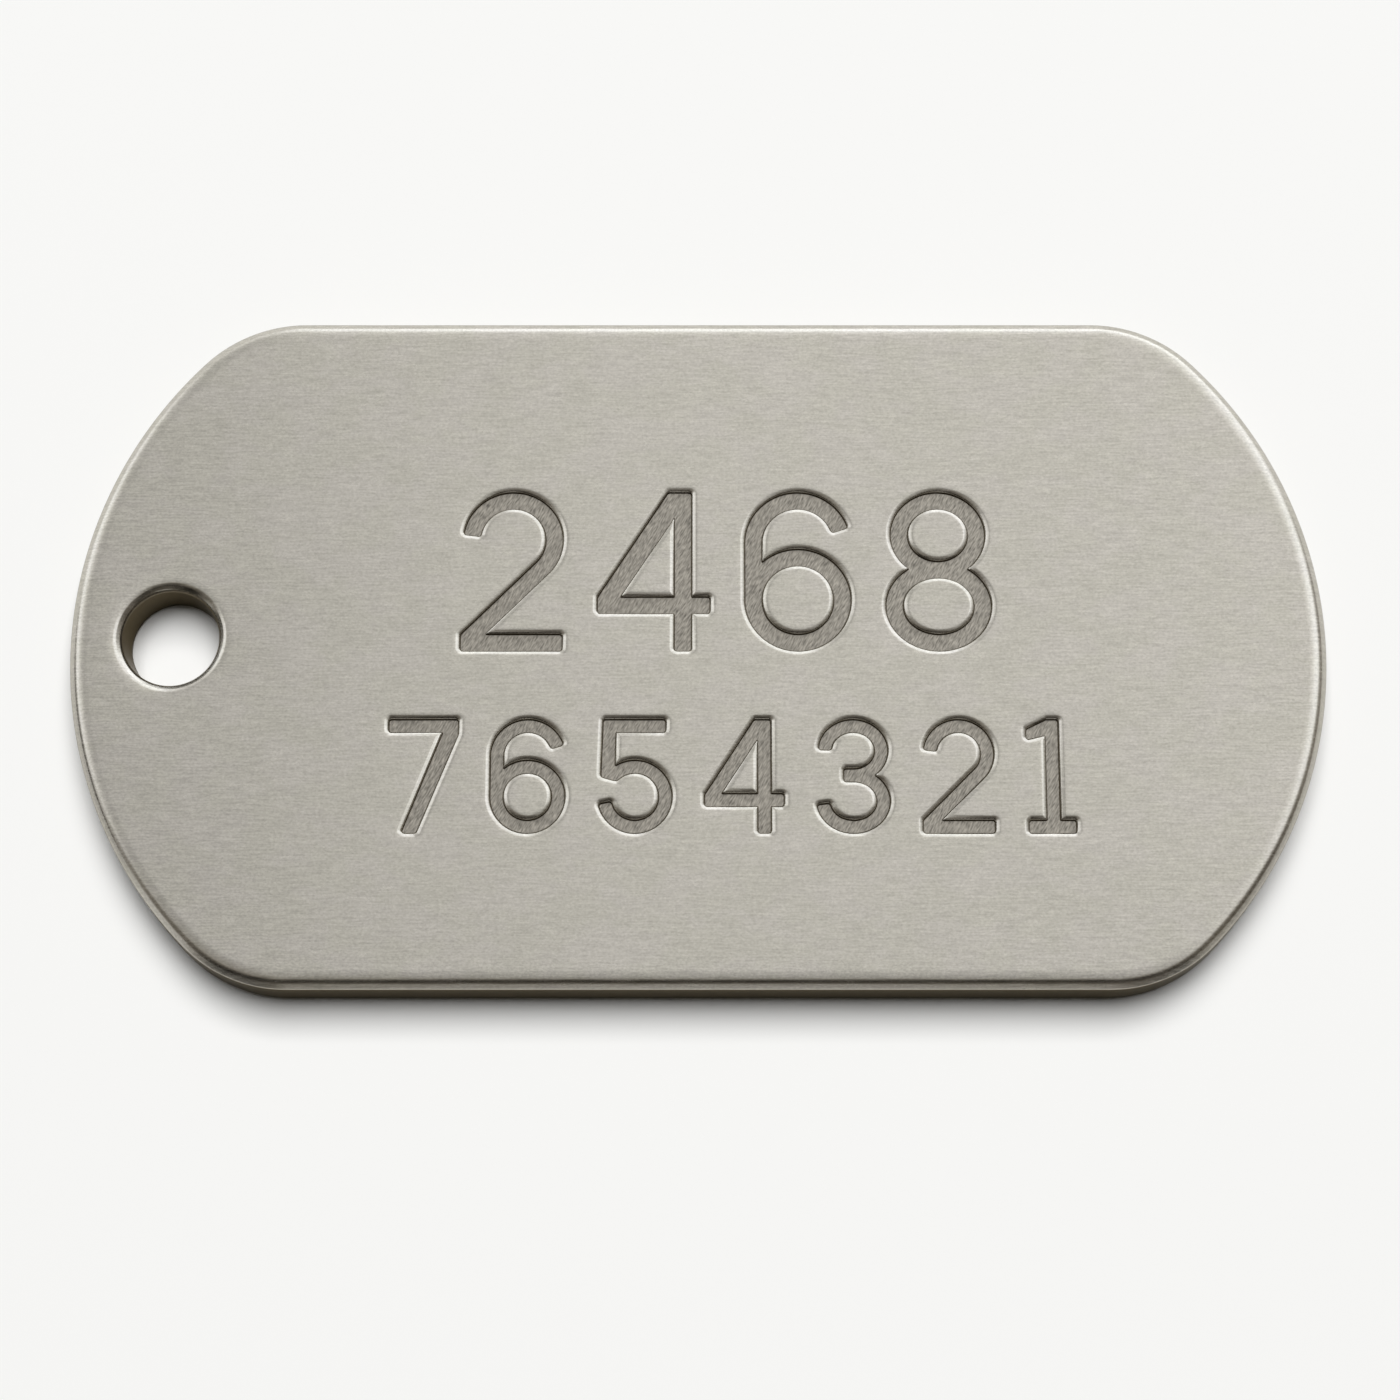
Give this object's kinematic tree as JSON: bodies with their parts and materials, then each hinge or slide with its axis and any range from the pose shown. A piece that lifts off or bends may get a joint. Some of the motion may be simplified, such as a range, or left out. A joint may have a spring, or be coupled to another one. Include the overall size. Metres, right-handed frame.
{
  "type": "dog id tag",
  "caption": "Flat steel pet identity tag with bowed ends, rounded corners and edges, a chamfered ring hole at one end and engraved plain numbers on the front.",
  "frame": {"origin": "middle of the flat back face, which lies on the table", "axes": "+X along the plate's length, from the ring hole's end to the plain end; +Y across it, towards the top of the numbers; +Z out of the engraved front"},
  "size_m": [0.051, 0.0278, 0.0024],
  "materials": {
    "brushed_steel": "fine brushing along the length, satin, with a darker hatched floor in the engraving"
  },
  "bodies": {
    "root": {"tag_plate": "brushed_steel"}
  },
  "joints": []
}
